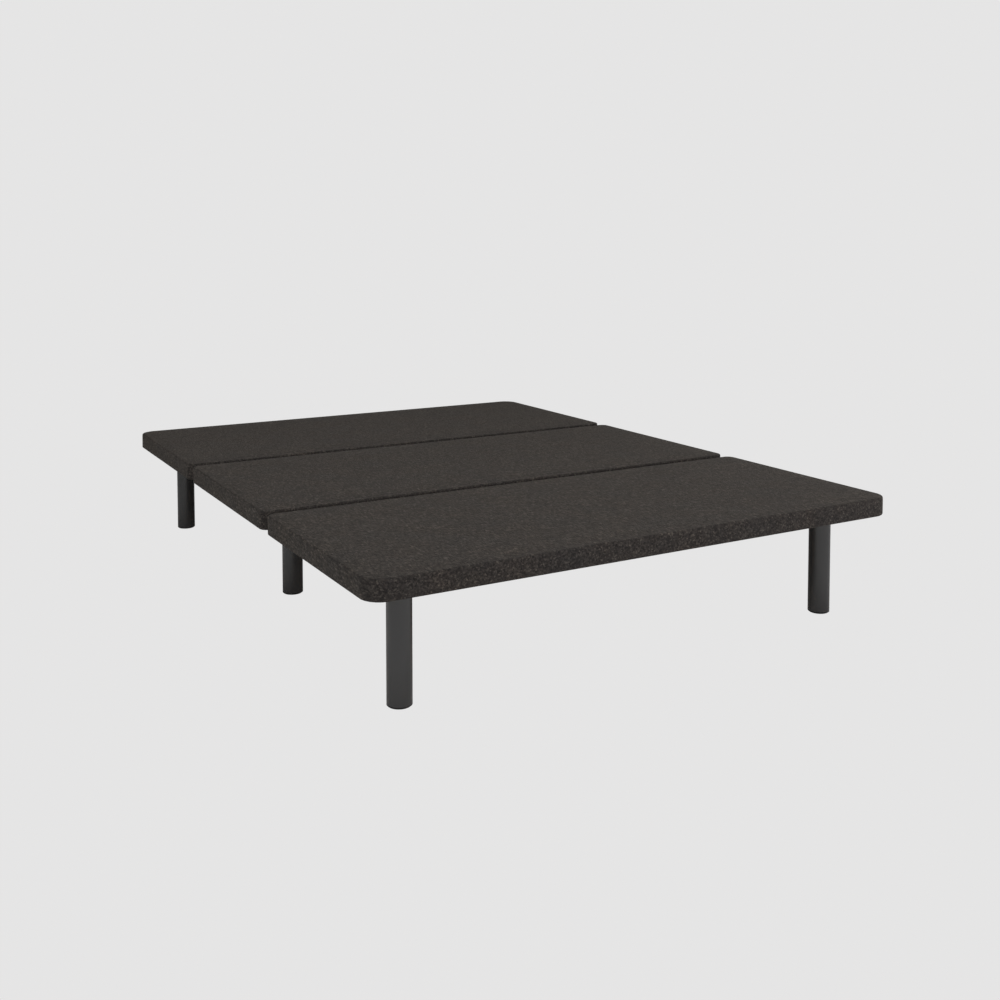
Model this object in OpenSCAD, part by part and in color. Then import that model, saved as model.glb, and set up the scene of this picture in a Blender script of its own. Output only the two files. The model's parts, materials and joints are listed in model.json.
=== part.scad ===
// Adjustable bed base: three upholstered panels on a six-legged steel chassis.
// The head and foot panels hinge up from the fixed seat panel, each lifted by a linear actuator.
// Origin: centre of the bed on the floor. +X across the bed, +Y towards the head, +Z up.

/* [Panels] */
// Width of the bed
bed_w = 1524; // [1500:1:1560]
// Length of the head panel
head_l = 662; // [650:1:670]
// Length of the fixed seat panel
seat_l = 663; // [650:1:675]
// Length of the foot panel
foot_l = 651; // [645:1:665]
// Gap between neighbouring panels
gap = 28; // [26:1:34]
// Thickness of an upholstered panel
panel_t = 50; // [46:1:56]
// Height of the sleeping surface above the floor
top_h = 330; // [320:1:420]
// Rounding of the panels' edges
edge_r = 7; // [4:1:10]
// Corner radius at the ends of the bed, seen from above
end_corner_r = 50; // [30:1:80]
// Corner radius at the gaps, seen from above
gap_corner_r = 24; // [12:1:40]
// Thickness of the fabric
fabric_t = 1; // [0.8:0.1:2]
// Width of the fabric turned under and stapled to the board
turn_under_w = 22; // [18:1:24]
// Thickness of the plywood board
board_t = 15; // [12:1:18]

/* [Chassis] */
// Width of the chassis tube
tube_w = 40; // [36:1:44]
// Height of the chassis tube
tube_h = 25; // [20:1:25]
// Wall of the chassis tube
tube_wall = 2; // [1.5:0.5:3]
// Distance between the side rails' centre lines
rail_spacing = 1195; // [1180:1:1220]
// Thickness of the rubber pads under the panels
pad_t = 5; // [4:0.5:6]

/* [Legs] */
// Outer diameter of a leg
leg_d = 58; // [50:1:62]
// Wall of a leg tube
leg_wall = 2; // [1.5:0.5:3]
// Sideways step from a side rail's centre line to a leg's centre line
leg_step = 35.5; // [34:0.5:40]
// Place of the foot legs along the bed
foot_leg_y = -885; // [-900:1:-850]
// Place of the middle legs along the bed
middle_leg_y = -3; // [-10:1:10]
// Place of the head legs along the bed
head_leg_y = 892; // [850:1:900]

/* [Lift mechanism] */
// Radius from a panel's hinge to its lift pin
lift_r = 120; // [118:1:122]
// Angle of the lift pin from straight below the hinge, bed flat
lift_start_deg = 25; // [23:1:27]
// Distance from a hinge to its actuator's rear pin, along the bed
motor_reach = 385; // [380:1:392]
// Sideways place of an actuator's centre line
motor_x = 120; // [110:1:130]
// Diameter of the hinge pins, lift pins and rear pins
pin_d = 12; // [10:1:12]
// Sideways place of a hinge
hinge_x = 480; // [470:1:490]

/* [Hidden] */
$fn = 48;

// Panel layout along the bed
bed_l = head_l + seat_l + foot_l + 2 * gap;
head_y0 = bed_l / 2 - head_l;
seat_y1 = head_y0 - gap;
seat_y0 = seat_y1 - seat_l;
foot_y1 = seat_y0 - gap;

// Heights
panel_z = top_h - panel_t;
board_z = panel_z + fabric_t;
rail_top = board_z - pad_t;
rail_z = rail_top - tube_h;
plate_t = 5;
// How far a cutting tool reaches past what it cuts
over = 1;
leg_top = rail_z - plate_t;
rail_x = rail_spacing / 2;
inner_x = rail_x - tube_w / 2;

// Hinge lines lie in the gaps, high enough for the panels' top edges to clear
hinge_drop = 18;
hinge_z = top_h - hinge_drop;
head_hinge_y = head_y0 - gap / 2;
foot_hinge_y = foot_y1 + gap / 2;
hinge_beam_y = 45;
arm_t = 6;
bracket_t = 5;
side_gap = 1;
eye_r = 10;
pin_r = pin_d / 2;
running_gap = 0.05;
bush_wall = 2;
bush_r = pin_r + bush_wall;

// Lift pin and rear pin, seen from the hinge
lift_y = -lift_r * sin(lift_start_deg);
lift_z = -lift_r * cos(lift_start_deg);

// Moving panels' steel frames
sub_tube = 20;
sub_wall = 1.5;
sub_clear = 32;
sub_x = inner_x - sub_clear;
sub_y0 = 40;
sub_end = 505;

// Screws and bolts
screw_d = 6;
screw_bite = 10;
washer_t = 1.2;
washer_share = 0.95;
head_share = 0.75;
head_rise_share = 0.55;
bolt_d = 8;
bolt_head_r = 7;
bolt_head_h = 5.2;
nut_h = 6;

charcoal = [0.22, 0.21, 0.2];
steel_black = [0.16, 0.16, 0.17];
zinc = [0.72, 0.73, 0.75];
plywood = [0.72, 0.57, 0.38];
foam_grey = [0.82, 0.8, 0.74];
rubber_black = [0.07, 0.07, 0.07];
casing_black = [0.1, 0.1, 0.11];

// ---- Shared shapes ----

// Both moving sections are drawn from their hinge line, +Y towards their free end
module at_head() {
  translate([0, head_hinge_y, hinge_z]) children();
}

module at_foot() {
  translate([0, foot_hinge_y, hinge_z]) mirror([0, 1, 0]) children();
}

module mirror_x() {
  children();
  mirror([1, 0, 0]) children();
}

// Rod of radius r along X, centred at x
module rod_x(x, y, z, r, length) {
  translate([x, y, z]) rotate([0, 90, 0]) cylinder(r = r, h = length, center = true);
}

// Rod of radius r along Y, starting at y
module rod_y(x, y, z, r, length) {
  translate([x, y, z]) rotate([-90, 0, 0]) cylinder(r = r, h = length);
}

pin_head_t = 3;
ring_t = 2;

// Pin along X through plates that reach half to each side of x: a head on one side, a ring on the other
module headed_pin(x, y, z, half, head_r) {
  rod_x(x, y, z, pin_r, 2 * (half + ring_t));
  rod_x(x + half + pin_head_t / 2, y, z, head_r, pin_head_t);
  rod_x(x - half - ring_t / 2, y, z, head_r - 1, ring_t);
}

module box_at(low, high) {
  translate(low) cube(high - low);
}

// Hollow rectangular tube along axis 0 (X) or 1 (Y)
module tube_box(low, high, wall, axis) {
  reach = axis == 0 ? [over, -wall, -wall] : [-wall, over, -wall];
  difference() {
    box_at(low, high);
    box_at(low - reach, high + reach);
  }
}

// Plan outline between y0 and y1, drawn in by inset, with corner radii r0 at y0 and r1 at y1
module plan(w, y0, y1, r0, r1, inset) {
  x = w / 2 - inset;
  a = y0 + inset;
  b = y1 - inset;
  s0 = max(r0 - inset, 1);
  s1 = max(r1 - inset, 1);
  union() {
    translate([-x, a + s0]) square([2 * x, b - s1 - a - s0]);
    translate([-x + s0, a]) square([2 * (x - s0), s0]);
    translate([-x + s1, b - s1]) square([2 * (x - s1), s1]);
    for (side = [-1, 1]) {
      translate([side * (x - s0), a + s0]) circle(r = s0);
      translate([side * (x - s1), b - s1]) circle(r = s1);
    }
  }
}

// Disc of radius r with a rounded rim, from z = 0 to z = t
module soft_disc(r, t, round_r) {
  rotate_extrude($fn = 32) {
    square([r - round_r, t]);
    translate([0, round_r]) square([r, t - 2 * round_r]);
    for (z = [round_r, t - round_r]) translate([r - round_r, z]) circle(r = round_r, $fn = 24);
  }
}

// Soft slab with rounded edges and rounded corners, drawn in on every side by inset
module soft_slab(y0, y1, r0, r1, inset) {
  round_r = edge_r - inset;
  x = bed_w / 2 - inset;
  hull() for (side = [-1, 1]) {
    translate([side * (x - r0 + inset), y0 + r0, panel_z + inset])
      soft_disc(r0 - inset, panel_t - 2 * inset, round_r);
    translate([side * (x - r1 + inset), y1 - r1, panel_z + inset])
      soft_disc(r1 - inset, panel_t - 2 * inset, round_r);
  }
}

// Fabric skin: closed over the top and sides, turned under round the board
module cover(y0, y1, r0, r1) {
  color(charcoal) difference() {
    soft_slab(y0, y1, r0, r1, 0);
    soft_slab(y0, y1, r0, r1, fabric_t);
    translate([0, 0, panel_z - over]) linear_extrude(2 * over + fabric_t)
      plan(bed_w, y0, y1, r0, r1, turn_under_w);
  }
}

layer_gap = 0.2;
board_gap = 1.5;
board_edge = fabric_t + board_gap;
// Step in the board's lower edge, under the fabric's rounded fold
rebate_w = edge_r + fabric_t;
rebate_h = edge_r / 2 + 1;

// Foam pad on top of the board
module foam(y0, y1, r0, r1) {
  color(foam_grey) difference() {
    soft_slab(y0, y1, r0, r1, fabric_t + layer_gap);
    box_at([-bed_w, y0 - over, panel_z - over], [bed_w, y1 + over, board_z + board_t + layer_gap]);
  }
}

module board(y0, y1, r0, r1) {
  color(plywood) translate([0, 0, board_z]) union() {
    linear_extrude(board_t) plan(bed_w, y0, y1, r0, r1, rebate_w);
    translate([0, 0, rebate_h]) linear_extrude(board_t - rebate_h) plan(bed_w, y0, y1, r0, r1, board_edge);
  }
}

// Screw pointing up: a domed head under a washer, from z down
module screw_up(x, y, z, d, length) {
  head_h = d * head_rise_share;
  translate([x, y, z - washer_t]) cylinder(r = d * washer_share, h = washer_t);
  translate([x, y, z - washer_t - head_h]) cylinder(r = d * head_share, h = head_h);
  translate([x, y, z]) cylinder(r = d / 2, h = length);
}

// ---- Chassis ----

bolt_y = [foot_leg_y, foot_hinge_y + hinge_beam_y, middle_leg_y, head_hinge_y - hinge_beam_y, head_leg_y];
bolt_step = 10;
rail_overhang = 20;
end_plate_t = 4;

module side_rail(side) {
  x = side * rail_x;
  low = [x - tube_w / 2, foot_leg_y - rail_overhang, rail_z];
  high = [x + tube_w / 2, head_leg_y + rail_overhang, rail_top];
  color(steel_black) difference() {
    tube_box(low, high, tube_wall, 1);
    for (y = bolt_y, step = [-bolt_step, bolt_step])
      rod_x(x, y + step, rail_z + tube_h / 2, bolt_d / 2, tube_w + 2 * over);
  }
}

// Cross tube with welded end plates, bolted between the side rails
module cross_beam(y) {
  x = inner_x - end_plate_t;
  color(steel_black) difference() {
    union() {
      tube_box([-x, y - tube_w / 2, rail_z], [x, y + tube_w / 2, rail_top], tube_wall, 0);
      mirror_x() box_at([x, y - tube_w / 2, rail_z], [inner_x, y + tube_w / 2, rail_top]);
    }
    mirror_x() for (step = [-bolt_step, bolt_step])
      rod_x(x, y + step, rail_z + tube_h / 2, bolt_d / 2, 4 * end_plate_t);
  }
}

// Bolts through the side rails into the cross beams' end plates, head outside, nut inside
module frame_bolts() {
  color(zinc) mirror_x() for (y = bolt_y, step = [-bolt_step, bolt_step]) {
    z = rail_z + tube_h / 2;
    outer = rail_x + tube_w / 2;
    inner = inner_x - end_plate_t;
    tip = inner - nut_h - over;
    rod_x((outer + tip) / 2, y + step, z, bolt_d / 2, outer - tip);
    rod_x(outer + bolt_head_h / 2, y + step, z, bolt_head_r, bolt_head_h);
    rod_x(inner - nut_h / 2, y + step, z, bolt_head_r, nut_h, $fn = 6);
  }
}

function leg_x(side, middle) = side * (rail_x + (middle ? -leg_step : leg_step));

leg_places = [for (side = [-1, 1], y = [foot_leg_y, middle_leg_y, head_leg_y])
  [leg_x(side, y == middle_leg_y), y, side]];

glide_t = 5;
glide_chamfer = 3;
glide_rise = 2.5;
plug_h = 18;
plug_wall = 2;
cap_t = 5;
stud_r = 5;
stud_head_r = 8.5;
stud_head_h = 7;
stud_rise = 12;
weld_nut_r = 9.8;
weld_nut_h = 5;
hole_gap = 0.25;
plate_margin = 1;

module leg(x, y) {
  r = leg_d / 2;
  h = leg_top - glide_t;
  color(steel_black) translate([x, y, glide_t]) difference() {
    cylinder(r = r, h = h);
    translate([0, 0, -over]) cylinder(r = r - leg_wall, h = h - cap_t + over);
    cylinder(r = stud_r + hole_gap, h = h + over);
  }
}

// Plastic end plug with a chamfered foot
module leg_glides() {
  r = leg_d / 2;
  plug_r = r - leg_wall;
  color(rubber_black) for (p = leg_places) translate([p[0], p[1], 0]) rotate_extrude()
    polygon([[0, 0], [r - glide_chamfer, 0], [r, glide_rise], [r, glide_t], [plug_r, glide_t],
      [plug_r, glide_t + plug_h], [plug_r - plug_wall, glide_t + plug_h],
      [plug_r - plug_wall, glide_t], [0, glide_t]]);
}

// Plate that steps out from under a side rail to its leg, with a nut welded over the hole
module leg_plates() {
  r = leg_d / 2 + plate_margin;
  color(steel_black) for (p = leg_places) {
    rail = p[2] * rail_x;
    difference() {
      union() {
        translate([0, 0, leg_top]) linear_extrude(plate_t) {
          translate([p[0], p[1]]) circle(r = r);
          translate([min(rail, p[0]), p[1] - r]) square([leg_step, 2 * r]);
          translate([rail - tube_w / 2, p[1] - r]) square([tube_w, 2 * r]);
        }
        translate([p[0], p[1], rail_z]) cylinder(r = weld_nut_r, h = weld_nut_h, $fn = 6);
      }
      translate([p[0], p[1], leg_top - over]) cylinder(r = stud_r, h = plate_t + weld_nut_h + 2 * over);
    }
  }
}

// Headed studs from inside the legs' caps up through the plates' nuts
module leg_studs() {
  color(zinc) for (p = leg_places) translate([p[0], p[1], leg_top - cap_t - stud_head_h]) {
    cylinder(r = stud_head_r, h = stud_head_h, $fn = 6);
    cylinder(r = stud_r, h = stud_head_h + cap_t + plate_t + stud_rise);
  }
}

// Places of the rubber pads on the rails: [x, y, top]
moving_pad_gap = 0.3;
pad_r = 14;
dimple_r = 4;
dimple_h = 1.5;
pad_in = 60;
end_pad_x = 300;
seat_pad_y = [seat_y0 + pad_in, (seat_y0 + seat_y1) / 2 + 40, seat_y1 - pad_in];
moving_pad_y = [foot_leg_y + pad_in, (foot_leg_y + foot_y1) / 2, (head_leg_y + head_y0) / 2,
  head_leg_y - pad_in];

module rest_pad(x, y, h) {
  translate([x, y, rail_top]) difference() {
    cylinder(r = pad_r, h = h);
    translate([0, 0, h - dimple_h]) cylinder(r = dimple_r, h = dimple_h + over);
  }
}

module rest_pads() {
  color(rubber_black) {
    mirror_x() for (y = seat_pad_y) rest_pad(rail_x, y, pad_t);
    mirror_x() for (y = moving_pad_y) rest_pad(rail_x, y, pad_t - moving_pad_gap);
    mirror_x() for (y = [foot_leg_y, head_leg_y]) rest_pad(end_pad_x, y, pad_t - moving_pad_gap);
  }
}

// ---- Seat panel ----

module seat_cover() {
  cover(seat_y0, seat_y1, gap_corner_r, gap_corner_r);
}

module seat_foam() {
  foam(seat_y0, seat_y1, gap_corner_r, gap_corner_r);
}

seat_screw_x = [90, 350, 520];
sleeve_r = 8;

module seat_screw_places() {
  mirror_x() for (x = seat_screw_x, y = [foot_hinge_y + hinge_beam_y, head_hinge_y - hinge_beam_y])
    translate([x, y, 0]) children();
}

module seat_board() {
  color(plywood) difference() {
    board(seat_y0, seat_y1, gap_corner_r, gap_corner_r);
    seat_screw_places() translate([0, 0, board_z - over])
      cylinder(r = screw_d / 2, h = screw_bite + over);
  }
}

// Spacer sleeves and screws that hold the seat board down on the hinge beams
module seat_screws() {
  color(zinc) seat_screw_places() {
    difference() {
      translate([0, 0, rail_top]) cylinder(r = sleeve_r, h = pad_t);
      translate([0, 0, rail_top - over]) cylinder(r = screw_d / 2, h = pad_t + 2 * over);
    }
    translate([0, 0, rail_z]) screw_up(0, 0, 0, screw_d, board_z + screw_bite - rail_z);
  }
}

module hinge_beam(y) {
  difference() {
    cross_beam(y);
    mirror_x() for (x = seat_screw_x) translate([x, y, rail_z - over])
      cylinder(r = screw_d / 2, h = tube_h + 2 * over);
  }
}

// ---- Hinges, drawn from the hinge line ----

// Side view of a hinge plate: an eye, a post below it and a foot towards a tube
module hinge_profile(foot_to, foot_low, foot_high) {
  circle(r = eye_r);
  translate([-eye_r, foot_low]) square([2 * eye_r, -foot_low]);
  translate([min(-eye_r, foot_to), foot_low]) square([abs(foot_to) + eye_r, foot_high - foot_low]);
}

// Plate of thickness t, centred at x, cut from a side view drawn in Y and Z
module side_plate(x, t) {
  translate([x - t / 2, 0, 0]) rotate([90, 0, 90]) linear_extrude(t) children();
}

bracket_x = arm_t / 2 + side_gap + bracket_t / 2;
beam_face_y = -hinge_beam_y + tube_w / 2;
weld_step = 3;

module hinge_plates() {
  low = rail_z - hinge_z + weld_step;
  high = rail_top - hinge_z;
  color(steel_black) mirror_x() for (step = [-bracket_x, bracket_x]) difference() {
    side_plate(hinge_x + step, bracket_t) hinge_profile(beam_face_y, low, high);
    rod_x(hinge_x + step, 0, 0, pin_r, 2 * bracket_t);
  }
}

module hinge_arms() {
  top = board_z - hinge_z;
  color(steel_black) mirror_x() difference() {
    side_plate(hinge_x, arm_t) hinge_profile(sub_y0, top - sub_tube, panel_z - hinge_z - side_gap);
    rod_x(hinge_x, 0, 0, bush_r, 2 * arm_t);
  }
}

// Flanged bearing bushes pressed into the arms
module hinge_bushes() {
  flange_t = side_gap - layer_gap;
  color("goldenrod") mirror_x() difference() {
    union() {
      rod_x(hinge_x, 0, 0, bush_r, arm_t);
      for (side = [-1, 1]) rod_x(hinge_x + side * (arm_t + flange_t) / 2, 0, 0, eye_r, flange_t);
    }
    rod_x(hinge_x, 0, 0, pin_r + running_gap, 3 * arm_t);
  }
}

pin_half = arm_t / 2 + side_gap + bracket_t;

module hinge_pin_pair() {
  mirror_x() headed_pin(hinge_x, 0, 0, pin_half, pin_r + 3);
}

// ---- Moving panel frames, drawn from the hinge line ----

sub_z0 = board_z - hinge_z - sub_tube;
sub_z1 = board_z - hinge_z;
sub_mid_y = 270;
sub_screw_x = [180, 420];
sub_screw_y = [sub_y0 + sub_tube / 2, sub_mid_y, sub_end - sub_tube / 2];

module sub_screw_places() {
  mirror_x() for (x = sub_screw_x, y = sub_screw_y) translate([x, y, 0]) children();
}

// The welded frame's two long tubes
module frame_rails() {
  color(steel_black) mirror_x()
    tube_box([sub_x - sub_tube, sub_y0, sub_z0], [sub_x, sub_end, sub_z1], sub_wall, 1);
}

// The three cross tubes welded between them
module cross_tubes() {
  end = sub_x - sub_tube;
  color(steel_black) difference() {
    for (y = sub_screw_y)
      tube_box([-end, y - sub_tube / 2, sub_z0], [end, y + sub_tube / 2, sub_z1], sub_wall, 0);
    sub_screw_places() translate([0, 0, sub_z0 - over]) cylinder(r = screw_d / 2, h = sub_tube + 2 * over);
  }
}

module subframe_screws() {
  color(zinc) sub_screw_places() translate([0, 0, sub_z0]) screw_up(0, 0, 0, screw_d, sub_tube + screw_bite);
}

module moving_board(y0, y1, r0, r1) {
  difference() {
    board(y0, y1, r0, r1);
    children();
  }
}

module sub_screw_holes() {
  sub_screw_places() translate([0, 0, sub_z1 - over]) cylinder(r = screw_d / 2, h = screw_bite + over);
}

// ---- Lift brackets, drawn from the hinge line ----

lift_plate_t = 6;
rod_eye_w = 24;
eye_side_gap = 1.2;
lift_plate_x = rod_eye_w / 2 + eye_side_gap + lift_plate_t / 2;
// The slot gives the lift pin room along and across the arm
slot_half_w = pin_r + 2;
slot_in = 18;
slot_out = 6;
lift_lip = 20;
lift_cross_t = 5;

// Side view of a lift plate: a foot under the cross tube, a web and a rounded end round the slot
module lift_outline() {
  bottom = lift_z - lift_lip;
  polygon([
    [sub_y0 - 2, sub_z0], [sub_y0 + sub_tube, sub_z0], [sub_y0 + sub_tube, sub_z0 - 16],
    [lift_y + 30, bottom], [lift_y - 6, bottom], [lift_y - 18, lift_z - 6], [lift_y - 14, lift_z + 16],
    [lift_y + 4, lift_z + 27], [lift_y + 22, lift_z + 27], [sub_y0 - 22, sub_z0 - 12]
  ]);
}

// Two plates that straddle the rod's eye, with a slot for the lift pin
module lift_bracket(x) {
  color(steel_black) difference() {
    union() {
      for (side = [-1, 1]) side_plate(x + side * lift_plate_x, lift_plate_t) lift_outline();
      box_at([x - lift_plate_x, sub_y0 + 2, sub_z0 - lift_cross_t],
        [x + lift_plate_x, sub_y0 + sub_tube, sub_z0]);
    }
    rotate([-lift_start_deg, 0, 0]) {
      for (z = [-lift_r + slot_in, -lift_r - slot_out]) rod_x(x, 0, z, slot_half_w, 4 * lift_plate_x);
      box_at([x - 2 * lift_plate_x, -slot_half_w, -lift_r - slot_out],
        [x + 2 * lift_plate_x, slot_half_w, -lift_r + slot_in]);
    }
  }
}

// ---- Actuators, drawn from the hinge line ----

rear_y = -motor_reach;
ear_r = 14;
ear_w = 24;
housing_y0 = rear_y + ear_r + 2;
housing_l = 76;
housing_y1 = housing_y0 + housing_l;
housing_r = 31;
bridge_half = 24;
tube_r = 20;
collar_l = 20;
collar_step = 2.5;
collar_back = 16;
tube_y1 = lift_y - 36;
rod_r = 12;
rod_clear = 3;
motor_dx = 60;
motor_r = 27;
motor_l = 118;
motor_shell = 3;
motor_cap_l = 5;
motor_cap_step = 4;

module gearbox(x) {
  color(casing_black) difference() {
    union() {
      rod_y(x, housing_y0, lift_z, housing_r, housing_l);
      rod_y(x - motor_dx, housing_y0 + ear_r, lift_z, motor_r + motor_shell, housing_l - ear_r);
      box_at([x - motor_dx, housing_y0 + ear_r, lift_z - bridge_half], [x, housing_y1, lift_z + bridge_half]);
      box_at([x - ear_w / 2, rear_y, lift_z - ear_r], [x + ear_w / 2, housing_y0 + over, lift_z + ear_r]);
      rod_x(x, rear_y, lift_z, ear_r, ear_w);
    }
    rod_x(x, rear_y, lift_z, pin_r + running_gap, 2 * ear_w);
  }
}

module motor(x) {
  color(casing_black) {
    rod_y(x - motor_dx, housing_y1, lift_z, motor_r, motor_l);
    rod_y(x - motor_dx, housing_y1 + motor_l, lift_z, motor_r - motor_cap_step, motor_cap_l);
  }
}

module outer_tube(x) {
  color(zinc) difference() {
    union() {
      rod_y(x, housing_y1, lift_z, tube_r, tube_y1 - housing_y1);
      rod_y(x, tube_y1 - collar_back, lift_z, tube_r + collar_step, collar_l);
    }
    rod_y(x, housing_y1 - over, lift_z, rod_r + rod_clear, tube_y1 - collar_back - housing_y1 + over);
    rod_y(x, housing_y1, lift_z, rod_r + running_gap, tube_y1 - housing_y1 + collar_l);
  }
}

screw_r = 6;
screw_y0 = housing_y1;
screw_y1 = lift_y - 46;
rod_y0 = housing_y1 + 10;
rod_wall = 3.5;
rod_bore_end = 26;
rod_eye_r = 14;
neck_l = 22;
neck_half = 9;
nut_l = 26;

module lead_screw(x) {
  color(zinc) rod_y(x, screw_y0, lift_z, screw_r, screw_y1 - screw_y0);
}

// Hollow rod that runs over the lead screw, with a forged eye on its end
module push_rod(x) {
  color(zinc) difference() {
    union() {
      rod_y(x, rod_y0 + nut_l, lift_z, rod_r, lift_y - pin_d - rod_y0 - nut_l);
      rod_x(x, lift_y, lift_z, rod_eye_r, rod_eye_w);
      box_at([x - rod_eye_w / 2, lift_y - neck_l, lift_z - neck_half],
        [x + rod_eye_w / 2, lift_y, lift_z + neck_half]);
    }
    rod_y(x, rod_y0, lift_z, rod_r - rod_wall, lift_y - rod_bore_end - rod_y0);
    rod_x(x, lift_y, lift_z, pin_r, 2 * rod_eye_w);
  }
}

// Threaded nut on the lead screw, fixed to the rod's inner end
module drive_nut(x) {
  color("goldenrod") difference() {
    rod_y(x, rod_y0, lift_z, rod_r, nut_l);
    rod_y(x, rod_y0 - over, lift_z, screw_r + running_gap, nut_l + 2 * over);
  }
}

module rod_pin(x) {
  color(zinc) headed_pin(x, lift_y, lift_z, lift_plate_x + lift_plate_t / 2 + side_gap, pin_r + 6);
}

rear_plate_t = 5;
rear_side_gap = 1.5;
rear_plate_x = ear_w / 2 + rear_side_gap + rear_plate_t / 2;
// The bracket's arm towards the centre beam: its depth, and its reach along the beam
bracket_arm_h = 13;
bracket_reach = 18;

// Two plates that hang from the centre beam and hold an actuator's rear pin.
// beam_y is the beam's place, seen from the hinge line.
module motor_bracket(x, beam_y) {
  top = rail_z - hinge_z;
  arm_z = top - bracket_arm_h;
  far = beam_y + bracket_reach;
  difference() {
    for (side = [-1, 1]) side_plate(x + side * rear_plate_x, rear_plate_t) {
      translate([rear_y, lift_z]) circle(r = ear_r);
      polygon([[rear_y - ear_r, lift_z], [rear_y + ear_r, lift_z], [rear_y + ear_r, arm_z],
        [far, arm_z], [far, top], [rear_y - ear_r, top]]);
    }
    rod_x(x, rear_y, lift_z, pin_r + running_gap, 4 * rear_plate_x);
  }
}

module rear_pin(x) {
  headed_pin(x, rear_y, lift_z, rear_plate_x + rear_plate_t / 2, pin_r + 4);
}

// ---- Electrics under the seat ----

module rounded_box(low, high, r) {
  size = high - low;
  translate(low) linear_extrude(size[2]) union() {
    translate([r, 0]) square([size[0] - 2 * r, size[1]]);
    translate([0, r]) square([size[0], size[1] - 2 * r]);
    for (x = [r, size[0] - r], y = [r, size[1] - r]) translate([x, y]) circle(r = r);
  }
}

control_x = -350;
control_size = [170, 110, 42];
supply_x = 350;
supply_size = [160, 84, 44];
lid_t = 3;
casing_wall = 2.5;
casing_r = 8;
socket_step = 30;
socket_l = 8;
socket_r = 8;
socket_bore_r = 5;
socket_drop = 22;

control_low = [control_x - control_size[0] / 2, middle_leg_y - control_size[1] / 2, rail_z - control_size[2]];
control_high = control_low + control_size;
supply_low = [supply_x - supply_size[0] / 2, middle_leg_y - supply_size[1] / 2, rail_z - supply_size[2]];
supply_high = supply_low + supply_size;

// Casing open below, with three sockets for leads on its inner side
module control_box() {
  wall = [casing_wall, casing_wall, 0];
  x = control_high[0] + socket_l / 2;
  z = rail_z - socket_drop;
  color(casing_black) difference() {
    union() {
      rounded_box(control_low, control_high, casing_r);
      for (y = [-socket_step, 0, socket_step]) rod_x(x, middle_leg_y + y, z, socket_r, socket_l);
    }
    rounded_box(control_low + wall - [0, 0, over], control_high - wall - [0, 0, casing_wall],
      casing_r - casing_wall);
    for (y = [-socket_step, 0, socket_step])
      rod_x(x, middle_leg_y + y, z, socket_bore_r, socket_l + 2 * (casing_wall + over));
  }
}

module control_box_lid() {
  color(casing_black)
    rounded_box(control_low - [0, 0, lid_t], [control_high[0], control_high[1], control_low[2]], casing_r);
}

inlet_size = [34, 18, 26];
inlet_wall = 4;
inlet_deep = 14;
inlet_drop = 35;
prong_x = 5;
prong_r = 1.5;
prong_l = 8.5;
prong_root = 0.5;

module power_supply() {
  color(casing_black) rounded_box(supply_low, supply_high, casing_r);
}

// Mains inlet on the supply's head side: a recess with two pins
module power_inlet() {
  low = [supply_x - inlet_size[0] / 2, supply_high[1], rail_z - inlet_drop];
  high = low + inlet_size;
  wall = [inlet_wall, 0, inlet_wall];
  color(casing_black) {
    difference() {
      box_at(low, high);
      box_at([low[0], high[1] - inlet_deep, low[2]] + wall, high + [0, over, 0] - wall);
    }
    for (x = [-prong_x, prong_x])
      rod_y(supply_x + x, high[1] - inlet_deep - prong_root, (low[2] + high[2]) / 2, prong_r,
        prong_l + prong_root);
  }
}

// ---- Nodes ----

module left_side_rail() { side_rail(-1); }
module right_side_rail() { side_rail(1); }
module head_end_beam() { cross_beam(head_leg_y); }
module foot_end_beam() { cross_beam(foot_leg_y); }

// The centre beam's lower wall is open round the middle legs' weld nuts
module center_beam() {
  color(steel_black) difference() {
    cross_beam(middle_leg_y);
    mirror_x() translate([leg_x(1, true), middle_leg_y, rail_z - over])
      cylinder(r = weld_nut_r + hole_gap, h = tube_wall + 2 * over);
  }
}

module head_hinge_beam() { color(steel_black) hinge_beam(head_hinge_y - hinge_beam_y); }
module foot_hinge_beam() { color(steel_black) hinge_beam(foot_hinge_y + hinge_beam_y); }

module leg_head_left() { leg(leg_x(-1, false), head_leg_y); }
module leg_head_right() { leg(leg_x(1, false), head_leg_y); }
module leg_middle_left() { leg(leg_x(-1, true), middle_leg_y); }
module leg_middle_right() { leg(leg_x(1, true), middle_leg_y); }
module leg_foot_left() { leg(leg_x(-1, false), foot_leg_y); }
module leg_foot_right() { leg(leg_x(1, false), foot_leg_y); }

module chassis_bolts() {
  frame_bolts();
  leg_studs();
}

module hinge_brackets() {
  at_head() hinge_plates();
  at_foot() hinge_plates();
}

module motor_brackets() {
  color(steel_black) {
    at_head() motor_bracket(motor_x, middle_leg_y - head_hinge_y);
    at_foot() motor_bracket(-motor_x, foot_hinge_y - middle_leg_y);
  }
}

// Headed pins with retaining rings: four at the hinges, two at the actuators' rear ends
module pivot_pins() {
  color(steel_black) {
    at_head() {
      hinge_pin_pair();
      rear_pin(motor_x);
    }
    at_foot() {
      hinge_pin_pair();
      rear_pin(-motor_x);
    }
  }
}

module head_cover() { cover(head_y0, bed_l / 2, gap_corner_r, end_corner_r); }
module head_foam() { foam(head_y0, bed_l / 2, gap_corner_r, end_corner_r); }

module head_board() {
  color(plywood) moving_board(head_y0, bed_l / 2, gap_corner_r, end_corner_r)
    at_head() sub_screw_holes();
}

module head_frame_rails() { at_head() frame_rails(); }
module head_cross_tubes() { at_head() cross_tubes(); }
module head_hinge_arms() { at_head() hinge_arms(); }
module head_hinge_bushes() { at_head() hinge_bushes(); }
module head_lift_bracket() { at_head() lift_bracket(motor_x); }
module head_screws() { at_head() subframe_screws(); }

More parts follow.
